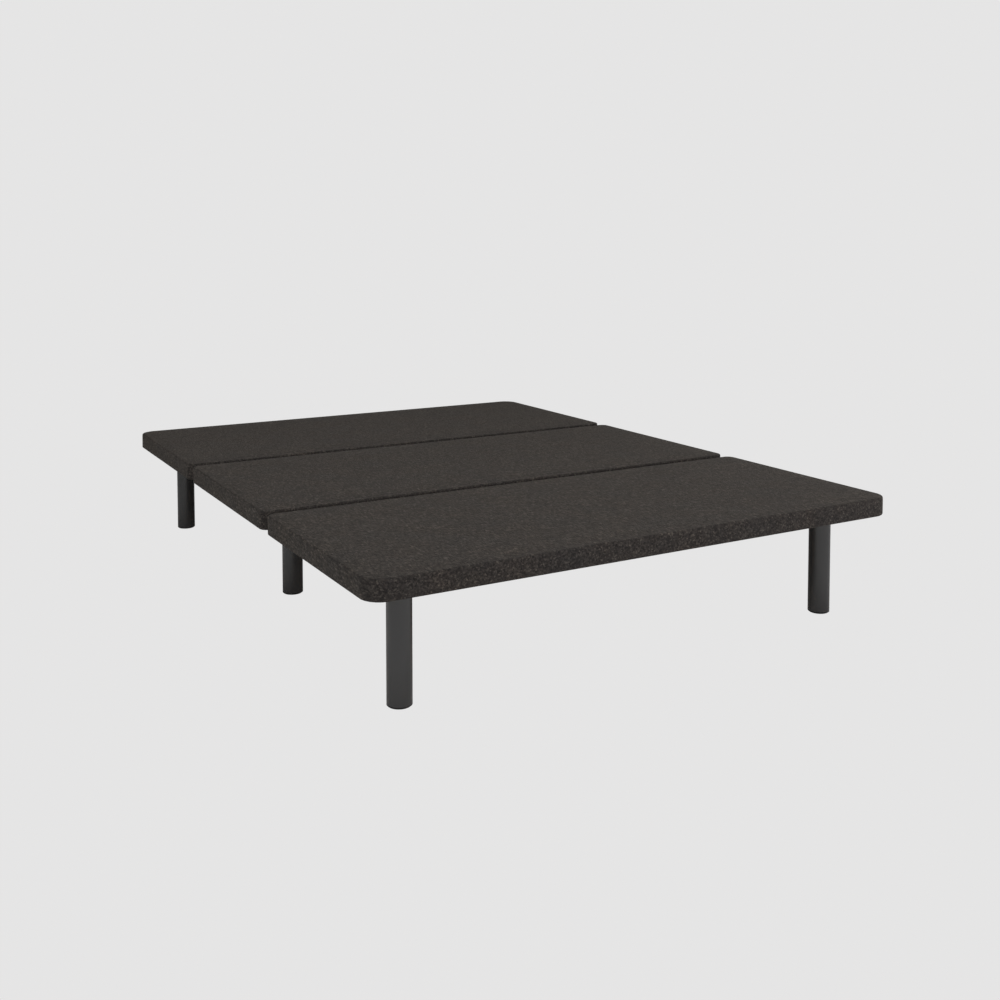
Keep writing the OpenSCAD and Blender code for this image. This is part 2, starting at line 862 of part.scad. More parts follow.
module foot_cover() { cover(-bed_l / 2, foot_y1, end_corner_r, gap_corner_r); }
module foot_foam() { foam(-bed_l / 2, foot_y1, end_corner_r, gap_corner_r); }

module foot_board() {
  color(plywood) moving_board(-bed_l / 2, foot_y1, end_corner_r, gap_corner_r)
    at_foot() sub_screw_holes();
}

module foot_frame_rails() { at_foot() frame_rails(); }
module foot_cross_tubes() { at_foot() cross_tubes(); }
module foot_hinge_arms() { at_foot() hinge_arms(); }
module foot_hinge_bushes() { at_foot() hinge_bushes(); }
module foot_lift_bracket() { at_foot() lift_bracket(-motor_x); }
module foot_screws() { at_foot() subframe_screws(); }

module head_gearbox() { at_head() gearbox(motor_x); }
module head_motor() { at_head() motor(motor_x); }
module head_outer_tube() { at_head() outer_tube(motor_x); }
module head_lead_screw() { at_head() lead_screw(motor_x); }
module head_push_rod() { at_head() push_rod(motor_x); }
module head_drive_nut() { at_head() drive_nut(motor_x); }
module head_rod_pin() { at_head() rod_pin(motor_x); }

module foot_gearbox() { at_foot() gearbox(-motor_x); }
module foot_motor() { at_foot() motor(-motor_x); }
module foot_outer_tube() { at_foot() outer_tube(-motor_x); }
module foot_lead_screw() { at_foot() lead_screw(-motor_x); }
module foot_push_rod() { at_foot() push_rod(-motor_x); }
module foot_drive_nut() { at_foot() drive_nut(-motor_x); }
module foot_rod_pin() { at_foot() rod_pin(-motor_x); }

left_side_rail();
right_side_rail();
head_end_beam();
foot_end_beam();
center_beam();
head_hinge_beam();
foot_hinge_beam();
leg_head_left();
leg_head_right();
leg_middle_left();
leg_middle_right();
leg_foot_left();
leg_foot_right();
leg_glides();
leg_plates();
chassis_bolts();
rest_pads();
seat_cover();
seat_foam();
seat_board();
seat_screws();
hinge_brackets();
motor_brackets();
pivot_pins();
control_box();
control_box_lid();
power_supply();
power_inlet();
head_cover();
head_foam();
head_board();
head_frame_rails();
head_cross_tubes();
head_hinge_arms();
head_hinge_bushes();
head_lift_bracket();
head_screws();
foot_cover();
foot_foam();
foot_board();
foot_frame_rails();
foot_cross_tubes();
foot_hinge_arms();
foot_hinge_bushes();
foot_lift_bracket();
foot_screws();
head_gearbox();
head_motor();
head_outer_tube();
head_lead_screw();
head_push_rod();
head_drive_nut();
head_rod_pin();
foot_gearbox();
foot_motor();
foot_outer_tube();
foot_lead_screw();
foot_push_rod();
foot_drive_nut();
foot_rod_pin();
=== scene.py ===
import json
import math

import bmesh
import bpy
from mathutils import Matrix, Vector, noise


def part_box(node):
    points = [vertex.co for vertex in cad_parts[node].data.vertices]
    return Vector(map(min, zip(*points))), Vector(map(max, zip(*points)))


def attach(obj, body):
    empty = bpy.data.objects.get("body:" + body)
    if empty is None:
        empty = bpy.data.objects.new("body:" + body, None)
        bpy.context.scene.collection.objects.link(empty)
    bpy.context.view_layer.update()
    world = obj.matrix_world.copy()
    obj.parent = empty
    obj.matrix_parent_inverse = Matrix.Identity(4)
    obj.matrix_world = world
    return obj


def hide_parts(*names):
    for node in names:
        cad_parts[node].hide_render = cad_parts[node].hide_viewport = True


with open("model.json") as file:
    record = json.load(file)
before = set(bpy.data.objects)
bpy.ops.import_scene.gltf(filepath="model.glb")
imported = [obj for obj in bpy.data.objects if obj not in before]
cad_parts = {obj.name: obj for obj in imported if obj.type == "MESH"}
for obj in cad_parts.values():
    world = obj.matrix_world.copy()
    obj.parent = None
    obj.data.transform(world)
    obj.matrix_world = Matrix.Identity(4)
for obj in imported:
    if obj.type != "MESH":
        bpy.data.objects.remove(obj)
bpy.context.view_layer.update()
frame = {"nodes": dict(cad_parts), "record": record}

MM = 0.001
scene = bpy.context.scene

# ---- Camera, light and floor ----

PALE = (0.786, 0.783, 0.783, 1.0)
AMBIENT = (0.002, 0.002, 0.002, 1.0)
GREY = (0.7, 0.7, 0.7, 1.0)
CAMERA_PLACE = (-1.6908, -3.1716, 1.0466)
CAMERA_DOWN_DEG = 3.187
CAMERA_TURN_DEG = -29.997
SENSOR_MM = 36.0
LENS_MM = 41.805
SHIFT = (-0.00244, -0.20542)
BACKDROP_R = 70.0
FLOOR_HALF = 60.0
FLOOR_DROP = 0.5 * MM
BOUNCE_HALF = 12.0
BOUNCE_DROP = 0.8 * MM


def make_camera():
    """The photo's view: nearly level, with a vertical shift."""
    data = bpy.data.cameras.new("main_camera")
    data.sensor_width = SENSOR_MM
    data.lens = LENS_MM
    data.shift_x, data.shift_y = SHIFT
    camera = bpy.data.objects.new("main_camera", data)
    camera.location = CAMERA_PLACE
    camera.rotation_euler = (math.radians(90 - CAMERA_DOWN_DEG), 0.0, math.radians(CAMERA_TURN_DEG))
    scene.collection.objects.link(camera)
    scene.camera = camera


def area_light(name, place, aim, size, power, tint):
    """A rectangular soft light at a place, turned to its aim."""
    data = bpy.data.lights.new(name, "AREA")
    data.shape = "RECTANGLE"
    data.size, data.size_y = size
    data.energy = power
    data.color = tint
    light = bpy.data.objects.new(name, data)
    light.location = place
    light.rotation_euler = (Vector(aim) - Vector(place)).to_track_quat("-Z", "Y").to_euler()
    scene.collection.objects.link(light)


def make_studio():
    """A dark world and soft lights round the bed."""
    world = bpy.data.worlds.new("studio")
    world.use_nodes = True
    background = world.node_tree.nodes["Background"]
    background.inputs["Color"].default_value = AMBIENT
    background.inputs["Strength"].default_value = 1.0
    scene.world = world
    scene.view_settings.view_transform = "Standard"
    area_light("key", (-2.3, -3.4, 3.1), (-0.1, -0.3, 0.3), (2.0, 2.0), 50.0, (1.0, 0.99, 0.98))
    area_light("top", (-0.3, -1.0, 3.2), (-0.3, -0.9, 0.3), (4.5, 4.5), 50.0, (1.0, 0.995, 0.98))
    area_light("left", (-4.1, -0.1, 1.4), (-0.2, 0.0, 0.2), (3.2, 1.6), 28.0, (1.0, 0.98, 0.98))
    area_light("fill", (0.8, -5.0, 0.9), (0.1, -0.9, 0.2), (2.0, 1.0), 29.0, (1.0, 0.96, 0.98))
    area_light("right_back", (3.6, 1.6, 1.6), (0.6, -0.6, 0.1), (2.0, 1.4), 7.5, (1.0, 1.0, 1.0))
    area_light("back", (0.6, 4.4, 0.4), (0.0, 0.9, 0.2), (3.2, 0.6), 9.0, (1.0, 1.0, 1.0))
    area_light("right_front", (3.4, -3.6, 1.0), (0.5, -0.9, 0.2), (1.5, 1.0), 50.0, (1.0, 0.97, 0.98))


def stage_sheet(name, mesh, shader, colour):
    """A floor or backdrop of one plain shader."""
    material = bpy.data.materials.new(name)
    material.use_nodes = True
    tree = material.node_tree
    tree.nodes.clear()
    surface = tree.nodes.new(shader)
    surface.inputs["Color"].default_value = colour
    out = tree.nodes.new("ShaderNodeOutputMaterial")
    tree.links.new(surface.outputs[0], out.inputs["Surface"])
    mesh.materials.append(material)
    sheet = bpy.data.objects.new(name, mesh)
    scene.collection.objects.link(sheet)
    return sheet


def square_mesh(name, half, z):
    mesh = bpy.data.meshes.new(name)
    corners = [(-half, -half, z), (half, -half, z), (half, half, z), (-half, half, z)]
    mesh.from_pydata(corners, [], [(0, 1, 2, 3)])
    return mesh


def make_floor():
    """The pale floor and backdrop that are seen, and a grey floor that only gives the light's bounce."""
    dome = bmesh.new()
    bmesh.ops.create_uvsphere(dome, u_segments=48, v_segments=24, radius=BACKDROP_R)
    dome_mesh = bpy.data.meshes.new("backdrop")
    dome.to_mesh(dome_mesh)
    dome.free()
    floor_mesh = square_mesh("pale_floor", FLOOR_HALF, -FLOOR_DROP)
    seen = [stage_sheet("pale_backdrop", dome_mesh, "ShaderNodeEmission", PALE),
            stage_sheet("pale_floor", floor_mesh, "ShaderNodeEmission", PALE)]
    for sheet in seen:
        sheet.visible_diffuse = sheet.visible_glossy = False
        sheet.visible_transmission = sheet.visible_shadow = False
    bounce_mesh = square_mesh("bounce_floor", BOUNCE_HALF, -BOUNCE_DROP)
    bounce = stage_sheet("bounce_floor", bounce_mesh, "ShaderNodeBsdfDiffuse", GREY)
    bounce.visible_camera = False


# ---- Node materials ----


class Shader:
    """A small builder of node materials in object coordinates, in metres."""

    def __init__(self, name, **settings):
        self.material = bpy.data.materials.new(name)
        self.material.use_nodes = True
        self.tree = self.material.node_tree
        self.tree.nodes.clear()
        self.bsdf = self.tree.nodes.new("ShaderNodeBsdfPrincipled")
        out = self.tree.nodes.new("ShaderNodeOutputMaterial")
        self.tree.links.new(self.bsdf.outputs[0], out.inputs["Surface"])
        self.place = self.tree.nodes.new("ShaderNodeTexCoord").outputs["Object"]
        for key, value in settings.items():
            self.put(self.bsdf, key.replace("_", " ").title().replace("Ior", "IOR"), value)

    def put(self, target, key, value):
        socket = target.inputs[key]
        if isinstance(value, bpy.types.NodeSocket):
            self.tree.links.new(value, socket)
        elif isinstance(value, tuple) and len(value) == 3 and socket.type == "RGBA":
            socket.default_value = (*value, 1.0)
        else:
            socket.default_value = value

    def add(self, kind, inputs=(), **props):
        made = self.tree.nodes.new("ShaderNode" + kind)
        for key, value in props.items():
            setattr(made, key, value)
        for key, value in dict(inputs).items():
            self.put(made, key, value)
        return made

    def math(self, operation, a, b=0.0):
        return self.add("Math", {0: a, 1: b}, operation=operation).outputs[0]

    def noise(self, scale, detail=2.0, place=None, rough=0.5):
        made = self.add("TexNoise", {"Vector": place or self.place, "Scale": scale, "Detail": detail,
                                     "Roughness": rough})
        return made.outputs["Fac"]

    def stretch(self, factors, place=None):
        return self.add("Mapping", {"Vector": place or self.place, "Scale": factors}).outputs[0]

    def range(self, value, low, high, new_low, new_high):
        made = self.add("MapRange", {"Value": value, "From Min": low, "From Max": high,
                                     "To Min": new_low, "To Max": new_high})
        return made.outputs[0]

    def ramp(self, value, stops):
        made = self.add("ValToRGB", {"Fac": value})
        ramp = made.color_ramp
        while len(ramp.elements) < len(stops):
            ramp.elements.new(0.5)
        for element, (at, colour) in zip(ramp.elements, stops):
            element.position = at
            element.color = (*colour, 1.0)
        return made.outputs["Color"]

    def mix(self, amount, a, b, blend="MIX"):
        made = self.add("Mix", data_type="RGBA", blend_type=blend)
        for key, kind, value in (("Factor", "VALUE", amount), ("A", "RGBA", a), ("B", "RGBA", b)):
            socket = [s for s in made.inputs if s.name == key and s.type == kind][0]
            if isinstance(value, bpy.types.NodeSocket):
                self.tree.links.new(value, socket)
            else:
                socket.default_value = value if kind == "VALUE" else (*value, 1.0)
        return [s for s in made.outputs if s.type == "RGBA"][0]

    def bump(self, height, distance, under=None):
        inputs = {"Height": height, "Distance": distance, "Strength": 1.0}
        if under:
            inputs["Normal"] = under
        return self.add("Bump", inputs).outputs[0]

    def finish(self, colour, rough, normal=None):
        self.put(self.bsdf, "Base Color", colour)
        self.put(self.bsdf, "Roughness", rough)
        if normal:
            self.put(self.bsdf, "Normal", normal)
        return self.material


def tweed():
    """Slubbed nubs of mixed yarn, fine flecks, raised loops with painted shade in their hollows and painted
    highlight on their crests, and a slow drift in tone.
    """
    nub_w, fleck_w, wander = 3.4 * MM, 1.8 * MM, 3.0 * MM
    nub_high, loop_high, fuzz_high = 0.6 * MM, 1.1 * MM, 0.12 * MM
    slub = (1.0, 0.36, 1.0)
    s = Shader("charcoal_tweed", sheen_weight=0.12, sheen_roughness=0.45, specular_ior_level=0.25)
    s.put(s.bsdf, "Sheen Tint", (0.9, 0.82, 0.72))
    drift = s.add("TexNoise", {"Vector": s.place, "Scale": 140.0, "Detail": 2.0}).outputs["Color"]
    shift = s.add("VectorMath", {0: drift, 1: (0.5, 0.5, 0.5)}, operation="SUBTRACT").outputs[0]
    shift = s.add("VectorMath", {0: shift, "Scale": wander}, operation="SCALE").outputs[0]
    place = s.stretch(slub, s.add("VectorMath", {0: s.place, 1: shift}, operation="ADD").outputs[0])
    nubs = s.add("TexVoronoi", {"Vector": place, "Scale": 1 / nub_w}, feature="F1")
    pick = s.add("SeparateColor", {"Color": nubs.outputs["Color"]})
    yarn = s.ramp(pick.outputs[0], [
        (0.0, (0.021, 0.0185, 0.0178)), (0.3, (0.03, 0.0262, 0.0248)), (0.6, (0.041, 0.0362, 0.0336)),
        (0.86, (0.0556, 0.0496, 0.0456)), (1.0, (0.086, 0.076, 0.068))])
    fine = s.add("TexVoronoi", {"Vector": place, "Scale": 1 / fleck_w}, feature="F1")
    speck = s.add("SeparateColor", {"Color": fine.outputs["Color"]}).outputs[1]
    yarn = s.mix(0.3, yarn, s.ramp(speck, [(0.0, (0.35, 0.35, 0.36)), (0.6, (0.9, 0.88, 0.87)),
                                            (1.0, (1.8, 1.76, 1.68))]), "MULTIPLY")
    patch = s.noise(9.0, 3.0)
    tone = s.ramp(patch, [(0.3, (0.86, 0.88, 0.9)), (0.7, (1.12, 1.08, 1.03))])
    loops = s.noise(190.0, 3.0, s.stretch(slub), 0.65)
    # Painted shade and highlight: the loops' colour follows their bump height, darker in the hollows and
    # lighter on the raised loops.
    loop_shade_and_highlight = s.ramp(loops, [(0.36, (0.66, 0.67, 0.69)), (0.5, (1.0, 1.0, 1.0)), (0.64, (1.42, 1.4, 1.36))])
    colour = s.mix(1.0, s.mix(1.0, yarn, tone, "MULTIPLY"), loop_shade_and_highlight, "MULTIPLY")
    height = s.range(nubs.outputs["Distance"], 0.0, 0.7, 1.0, 0.0)
    fuzz = s.noise(2600.0, 2.0)
    normal = s.bump(fuzz, fuzz_high, s.bump(height, nub_high, s.bump(loops, loop_high)))
    return s.finish(colour, s.range(patch, 0.3, 0.7, 0.86, 0.95), normal)


def powder_coat(name, base, rough, grain=900.0, shine=0.5, coat=0.0):
    """Painted steel with a fine orange peel and slow changes in tone and roughness."""
    s = Shader(name, specular_ior_level=shine, coat_weight=coat, coat_roughness=0.08)
    peel = s.noise(grain, 2.0)
    wide = s.noise(7.0, 3.0)
    tone = s.ramp(wide, [(0.3, tuple(0.88 * c for c in base)), (0.7, tuple(1.12 * c for c in base))])
    roughness = s.math("ADD", s.range(peel, 0.3, 0.7, rough - 0.04, rough + 0.04),
                       s.range(wide, 0.3, 0.7, -0.03, 0.03))
    return s.finish(tone, roughness, s.bump(peel, 0.06 * MM))


def bare_metal(name, base, rough, along, tarnish):
    """Plated or ground metal with fine lines along one direction and cloudy tarnish."""
    s = Shader(name, metallic=1.0)
    lines = s.noise(1.0, 3.0, s.stretch(along))
    cloud = s.noise(60.0, 3.0)
    colour = s.mix(s.range(cloud, 0.35, 0.75, 0.0, 0.6), base, tarnish)
    roughness = s.math("ADD", s.range(lines, 0.3, 0.7, rough - 0.06, rough + 0.08),
                       s.range(cloud, 0.3, 0.7, -0.04, 0.06))
    return s.finish(colour, roughness, s.bump(lines, 0.02 * MM))


def plywood():
    """Wavy grain on the faces; thin dark plies where the surface stands upright."""
    ply, sway = 1.6 * MM, 0.12
    s = Shader("birch_plywood", specular_ior_level=0.35)
    drift = s.add("TexNoise", {"Vector": s.stretch((1.2, 5.0, 5.0)), "Scale": 1.0, "Detail": 3.0})
    shift = s.add("VectorMath", {0: drift.outputs["Color"], "Scale": sway}, operation="SCALE").outputs[0]
    warped = s.add("VectorMath", {0: s.place, 1: shift}, operation="ADD").outputs[0]
    grain = s.noise(1.0, 5.0, s.stretch((6.0, 130.0, 20.0), warped), 0.6)
    pores = s.noise(1.0, 2.0, s.stretch((45.0, 1400.0, 300.0)))
    veneer = s.ramp(grain, [
        (0.25, (0.42, 0.27, 0.14)), (0.5, (0.58, 0.41, 0.235)), (0.75, (0.69, 0.52, 0.33))])
    colour = s.mix(s.range(pores, 0.55, 0.75, 0.0, 0.35), veneer, (0.28, 0.17, 0.09))
    height = s.add("SeparateXYZ", {"Vector": s.place}).outputs[2]
    plies = s.math("PINGPONG", height, ply)
    facing = s.add("SeparateXYZ", {"Vector": s.add("NewGeometry").outputs["Normal"]}).outputs[2]
    edge = s.math("LESS_THAN", s.math("ABSOLUTE", facing), 0.5)
    dark_ply = s.range(plies, 0.6 * MM, 1.0 * MM, 0.0, 0.55)
    colour = s.mix(s.math("MULTIPLY", edge, dark_ply), colour, (0.3, 0.17, 0.08))
    normal = s.bump(pores, 0.08 * MM, s.bump(grain, 0.15 * MM))
    return s.finish(colour, s.range(grain, 0.3, 0.7, 0.55, 0.7), normal)


def open_foam():
    cell_w, cell_deep = 1.6 * MM, 0.4 * MM
    s = Shader("open_cell_foam", specular_ior_level=0.2)
    cells = s.add("TexVoronoi", {"Vector": s.place, "Scale": 1 / cell_w}, feature="SMOOTH_F1")
    reach = cells.outputs["Distance"]
    wide = s.noise(5.0, 2.0)
    cream = s.ramp(wide, [(0.3, (0.78, 0.75, 0.66)), (0.7, (0.84, 0.82, 0.75))])
    # Painted shade: the colour darkens towards the cells' edges, in the low seams that the bump sinks.
    colour = s.mix(s.range(reach, 0.2, 0.7, 0.0, 0.5), cream, (0.42, 0.39, 0.32))
    return s.finish(colour, s.range(wide, 0.3, 0.7, 0.85, 0.95), s.bump(reach, -cell_deep))


def moulded_rubber():
    s = Shader("moulded_rubber", specular_ior_level=0.35)
    grit = s.noise(1500.0, 2.0)
    dust = s.noise(30.0, 4.0)
    colour = s.ramp(dust, [(0.4, (0.012, 0.012, 0.012)), (0.75, (0.035, 0.034, 0.032))])
    return s.finish(colour, s.range(dust, 0.3, 0.7, 0.62, 0.82), s.bump(grit, 0.08 * MM))


def moulded_plastic():
    pit_w, pit_high = 0.9 * MM, 0.1 * MM
    s = Shader("spark_eroded_plastic", specular_ior_level=0.45)
    pits = s.add("TexVoronoi", {"Vector": s.place, "Scale": 1 / pit_w}, feature="SMOOTH_F1")
    wide = s.noise(12.0, 3.0)
    colour = s.ramp(wide, [(0.35, (0.016, 0.016, 0.017)), (0.7, (0.026, 0.026, 0.027))])
    return s.finish(colour, s.range(wide, 0.3, 0.7, 0.5, 0.62), s.bump(pits.outputs["Distance"], pit_high))


def oiled_bronze():
    return bare_metal("oiled_bronze", (0.55, 0.36, 0.17), 0.35, (300.0, 1500.0, 1500.0), (0.3, 0.17, 0.07))


def make_materials():
    """One material for each slot that the record names."""
    even, drawn = (900.0, 900.0, 900.0), (1600.0, 200.0, 1600.0)
    return {
        "tweed_fabric": tweed(),
        "foam": open_foam(),
        "plywood": plywood(),
        "leg_powder_coat": powder_coat("satin_leg_coat", (0.027, 0.0272, 0.0276), 0.17,
                                       shine=1.0, coat=0.24),
        "frame_powder_coat": powder_coat("satin_frame_coat", (0.012, 0.012, 0.0125), 0.5, 700.0),
        "zinc_steel": bare_metal("zinc_plate", (0.62, 0.63, 0.64), 0.32, even, (0.5, 0.49, 0.44)),
        "black_oxide_steel": bare_metal("black_oxide", (0.05, 0.05, 0.055), 0.38, even, (0.03, 0.027, 0.025)),
        "bright_steel": bare_metal("ground_steel", (0.66, 0.67, 0.68), 0.24, drawn, (0.52, 0.52, 0.5)),
        "bronze": oiled_bronze(),
        "rubber": moulded_rubber(),
        "black_plastic": moulded_plastic(),
    }


def dress_nodes(materials):
    """Give each CAD node the material of its record's slot."""
    for part in frame["record"]["subparts"]:
        node = frame["nodes"][part["node"]]
        if not node.material_slots:
            node.data.materials.append(None)
        for holder in node.material_slots:
            holder.material = materials[part["material_slot"]]


# ---- Upholstered panels ----

EDGE_ROUND = 4.5 * MM
EDGE_INSET = EDGE_ROUND + 3.0 * MM
END_CORNER_R = 50.0 * MM
GAP_CORNER_R = 24.0 * MM
LEAST_R = 0.1 * MM
CELL = 11.0 * MM
ARC_CELLS = 7


class Panel:
    """One upholstered panel, laid out from its CAD cover: plan outline, corner radii and body."""

    def __init__(self, tag, body, r_low, r_high):
        low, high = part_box(tag + "_cover")
        self.tag, self.body = tag, body
        self.low, self.high = low, high
        self.r_low, self.r_high = r_low, r_high

    def corners(self, inset):
        """Corner centres and radii of the outline drawn in by inset, keyed by the signs of x and y."""
        found = {}
        for sx in (-1, 1):
            for sy in (-1, 1):
                r = self.r_high if sy > 0 else self.r_low
                x = sx * (self.high.x - r)
                y = (self.high.y - r) if sy > 0 else (self.low.y + r)
                found[sx, sy] = (x, y, max(r - inset, LEAST_R))
        return found


def spread(start, end, step):
    """Even places from start to end, at most a step apart."""
    count = max(2, math.ceil((end - start) / step))
    return [start + (end - start) * k / count for k in range(count + 1)]


def marks(middle):
    """Places across a panel: its two corner bands, at shares of their width, and the middle between them."""
    return ([(-1, k / ARC_CELLS) for k in range(ARC_CELLS, 0, -1)] + [(0, share) for share in middle]
            + [(1, k / ARC_CELLS) for k in range(1, ARC_CELLS + 1)])


def grid_of(panel, inset):
    """Rows of (x, y, outward normal or None) that fill the outline drawn in by inset."""
    corners = panel.corners(inset)
    (x_low, y_low, r_low), (x_high, y_high, r_high) = corners[1, -1], corners[1, 1]
    columns = marks(spread(-1, 1, CELL / min(x_low, x_high)))
    rows = marks(spread(0, 1, CELL / (y_high - y_low)))
    made = []
    for sy, v in rows:
        line = []
        share = v if sy == 0 else (0.0 if sy < 0 else 1.0)
        x_mid = x_low * (1 - share) + x_high * share
        r_mid = r_low * (1 - share) + r_high * share
        for sx, u in columns:
            if sx and sy:
                cx, cy, r = corners[sx, sy]
                x = cx + sx * r * u * math.sqrt(1 - v * v / 2)
                y = cy + sy * r * v * math.sqrt(1 - u * u / 2)
                edge = Vector((x - cx, y - cy)).normalized() if (u == 1 or v == 1) else None
            elif sx:
                x = sx * (x_mid + r_mid * u)
                y = y_low + (y_high - y_low) * v
                edge = Vector((sx, 0)) if u == 1 else None
            elif sy:
                r = r_high if sy > 0 else r_low
                x = u * corners[1, sy][0]
                y = (y_high if sy > 0 else y_low) + sy * r * v
                edge = Vector((0, sy)) if v == 1 else None
            else:
                x = u * x_mid
                y = y_low + (y_high - y_low) * v
                edge = None
            line.append((x, y, edge))
        made.append(line)
    return made


def rim_of(grid):
    """Indices of the grid's border, in order round it."""
    rows, columns = len(grid), len(grid[0])
    return ([(0, c) for c in range(columns)] + [(r, columns - 1) for r in range(1, rows)]
            + [(rows - 1, c) for c in range(columns - 2, -1, -1)] + [(r, 0) for r in range(rows - 2, 0, -1)])


def slab_mesh(name, panel, inset, top, profile, shape, closed):
    """A top grid, then rings down the profile's (outset, z) steps; shape moves each point a little."""
    grid = grid_of(panel, inset)
    bm = bmesh.new()
    verts = [[bm.verts.new(shape(Vector((x, y, top)), edge or Vector((0, 0)), 0)) for x, y, edge in line]
             for line in grid]
    for a, b in zip(verts, verts[1:]):
        for k in range(len(a) - 1):
            bm.faces.new((a[k], a[k + 1], b[k + 1], b[k]))
    rim = rim_of(grid)
    ring = [verts[r][c] for r, c in rim]
    for step, (out, z) in enumerate(profile, 1):
        following = []
        for r, c in rim:
            x, y, edge = grid[r][c]
            following.append(bm.verts.new(shape(Vector((x + edge.x * out, y + edge.y * out, z)), edge, step)))
        for k in range(len(ring)):
            n = (k + 1) % len(ring)
            bm.faces.new((ring[n], ring[k], following[k], following[n]))
        ring = following
    if closed:
        lower = [[None] * len(line) for line in grid]
        for (r, c), vert in zip(rim, ring):
            lower[r][c] = vert
        for r, line in enumerate(grid):
            for c, (x, y, _) in enumerate(line):
                if lower[r][c] is None:
                    lower[r][c] = bm.verts.new(Vector((x, y, profile[-1][1])))
        for a, b in zip(lower, lower[1:]):
            for k in range(len(a) - 1):
                bm.faces.new((a[k], b[k], b[k + 1], a[k + 1]))
    mesh = bpy.data.meshes.new(name)
    bm.to_mesh(mesh)
    bm.free()
    for face in mesh.polygons:
        face.use_smooth = True
    piece = bpy.data.objects.new(name, mesh)
    scene.collection.objects.link(piece)
    return piece


def quarter(cx, cz, r, start, count):
    """Points of a quarter circle about (cx, cz) from angle start, clockwise, without its first point."""
    return [(cx + r * math.cos(math.radians(start - 90 * k / count)),
             cz + r * math.sin(math.radians(start - 90 * k / count))) for k in range(1, count + 1)]


SKIN = 1.0 * MM
HEM = 22.0 * MM
ROUND_RINGS = 7
SIDE_RINGS = 6
HEM_RINGS = 4
WAVE_PUSH = 0.3 * MM
RIPPLE_PUSH = 0.12 * MM
WAVE_LIFT = 0.2 * MM
RIPPLE_LIFT = 0.1 * MM
SIDE_SWELL = 0.3 * MM
PLEATS = 22
PLEAT_PUSH = 0.3 * MM
PLEAT_DROP = 0.55 * MM
FRAMES = 16
GIVE = 1.0 * MM
SMOOTH_PASSES = 8


def smooth_over(mesh, values):
    """Average a value at each vertex with its neighbours along the mesh's edges."""
    for _ in range(SMOOTH_PASSES):
        totals, counts = list(values), [1] * len(values)
        for edge in mesh.edges:
            a, b = edge.vertices
            totals[a] += values[b]
            totals[b] += values[a]
            counts[a] += 1
            counts[b] += 1
        values = [total / count for total, count in zip(totals, counts)]
    return values


def stretch(piece, bottom):
    """Blow the cover out against its staples for a few frames and keep a little of its outward movement.

    The foam behind the cover stops it from moving inward."""
    hem = piece.vertex_groups.new(name="stapled")
    hem.add([v.index for v in piece.data.vertices if v.co.z < bottom + MM], 1.0, "REPLACE")
    cloth = piece.modifiers.new("stretch", "CLOTH")
    settings = cloth.settings
    settings.quality = 4
    settings.mass = 0.35
    settings.tension_stiffness = settings.compression_stiffness = 25.0
    settings.shear_stiffness = 8.0
    settings.bending_stiffness = 0.5
    settings.vertex_group_mass = "stapled"
    settings.use_pressure = True
    settings.uniform_pressure_force = 4.0
    settings.effector_weights.gravity = 0.0
    cloth.point_cache.frame_start = 1
    cloth.point_cache.frame_end = FRAMES
    for frame_number in range(1, FRAMES + 1):
        scene.frame_set(frame_number)
    blown = piece.evaluated_get(bpy.context.evaluated_depsgraph_get()).to_mesh()
    moves = [max(0.0, (after.co - before.co).dot(before.normal))
             for after, before in zip(blown.vertices, piece.data.vertices)]
    piece.evaluated_get(bpy.context.evaluated_depsgraph_get()).to_mesh_clear()
    piece.modifiers.remove(cloth)
    scene.frame_set(1)
    moves = smooth_over(piece.data, [move * GIVE / (move + GIVE) for move in moves])
    normals = [vert.normal.copy() for vert in piece.data.vertices]
    for vert, normal, move in zip(piece.data.vertices, normals, moves):
        vert.co += normal * move


def unevenness(point):
    """A broad wave and a fine ripple, each between -1 and 1."""
    wave = noise.noise(Vector((point.x * 7, point.y * 7, point.z * 9 + 4)))
    ripple = noise.noise(Vector((point.x * 31 + 9, point.y * 31, point.z * 24)))
    return wave, ripple


def make_cover(panel, materials):
    """A fabric skin over the pad: top, rounded edge, side, lower edge and the hem turned under the board."""
    top, bottom = panel.high.z, panel.low.z
    r = EDGE_ROUND
    depth = top - bottom - 2 * r
    under = EDGE_INSET - r
    profile = [(under, top)]
    profile += quarter(under, top - r, r, 90, ROUND_RINGS)
    profile += [(EDGE_INSET, top - r - depth * k / SIDE_RINGS) for k in range(1, SIDE_RINGS + 1)]
    profile += quarter(under, bottom + r, r, 0, ROUND_RINGS)
    profile += [(under - (HEM - r) * k / HEM_RINGS, bottom) for k in range(1, HEM_RINGS + 1)]
    side_from = 1 + ROUND_RINGS
    side_to = side_from + SIDE_RINGS
    hem_from = len(profile) - HEM_RINGS

    def shape(point, edge, step):
        """Slight unevenness everywhere, and pleats at the corners below the side."""
        wave, ripple = unevenness(point)
        lift = 0.0
        push = WAVE_PUSH * wave + RIPPLE_PUSH * ripple
        if step == 0:
            lift = WAVE_LIFT * wave + RIPPLE_LIFT * ripple
            push = 0.0
        elif side_from < step <= side_to:
            push += SIDE_SWELL
        if edge.x and edge.y:
            pleat = math.sin(PLEATS * math.atan2(edge.y, edge.x))
            if step >= hem_from:
                lift -= PLEAT_DROP * (0.5 + 0.5 * pleat) * (step - hem_from + 1) / (HEM_RINGS + 1)
            elif step > side_to:
                push += PLEAT_PUSH * pleat
        return Vector((point.x + edge.x * push, point.y + edge.y * push, point.z + lift))

    piece = slab_mesh(panel.tag + "_upholstery", panel, EDGE_INSET, top, profile, shape, False)
    stretch(piece, bottom)
    solid = piece.modifiers.new("skin", "SOLIDIFY")
    solid.thickness = SKIN
    solid.offset = -1.0
    piece.data.materials.append(materials["tweed_fabric"])
    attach(piece, panel.body)
    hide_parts(panel.tag + "_cover")


